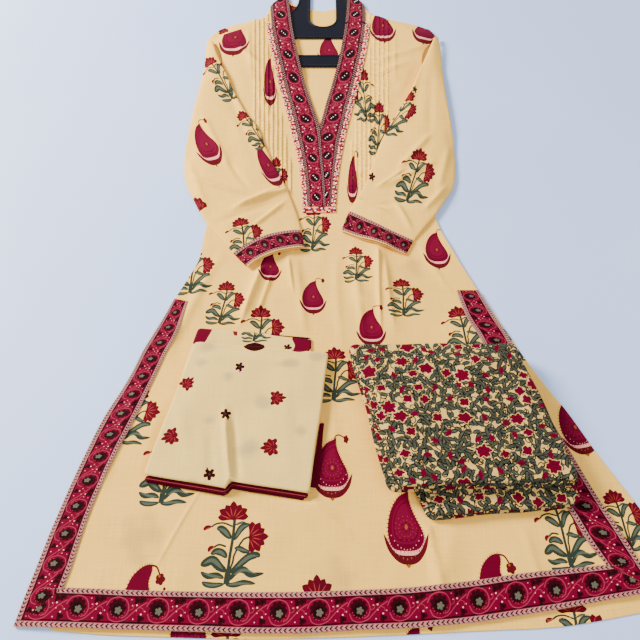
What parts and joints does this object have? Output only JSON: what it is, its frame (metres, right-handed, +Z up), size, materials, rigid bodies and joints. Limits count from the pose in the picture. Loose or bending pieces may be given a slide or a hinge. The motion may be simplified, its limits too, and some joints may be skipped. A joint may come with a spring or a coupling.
{
  "type": "kurta set laid flat with a hanger",
  "caption": "Block-printed kurta laid front up on its hanger, sleeves folded in over a V neck, with a folded stole and folded trousers lying on its skirt.",
  "frame": {"origin": "centre of the footprint, on the surface that the set lies on", "axes": "+Z up from the surface, +Y up the kurta from its hem to its neck, +X to the right as seen from above with the hem nearest"},
  "size_m": [0.771, 1.271, 0.0343],
  "materials": {
    "kurta_cotton": "slub cotton, printed",
    "border_cotton": "printed cotton border",
    "sequin_edging": "cotton edging with beads and sequins",
    "hanger_plastic": "moulded plastic, satin",
    "stole_cotton": "thin cotton, printed",
    "stole_border": "printed cotton border",
    "trouser_cotton": "cotton, printed all over"
  },
  "bodies": {
    "root": {"kurta_back": "kurta_cotton", "kurta_front": "kurta_cotton", "sleeve_left": "kurta_cotton", "sleeve_right": "kurta_cotton", "cuff_left": "border_cotton", "cuff_right": "border_cotton", "neck_band_left": "border_cotton", "neck_band_right": "border_cotton", "neck_edging_left": "sequin_edging", "neck_edging_right": "sequin_edging", "neck_edging_foot": "sequin_edging", "hem_border": "border_cotton", "slit_border_left": "border_cotton", "slit_border_right": "border_cotton", "hanger": "hanger_plastic", "stole_folded": "stole_cotton", "stole_foot_strip": "stole_border", "stole_side_strip": "stole_border", "trousers_folded": "trouser_cotton"}
  },
  "joints": []
}
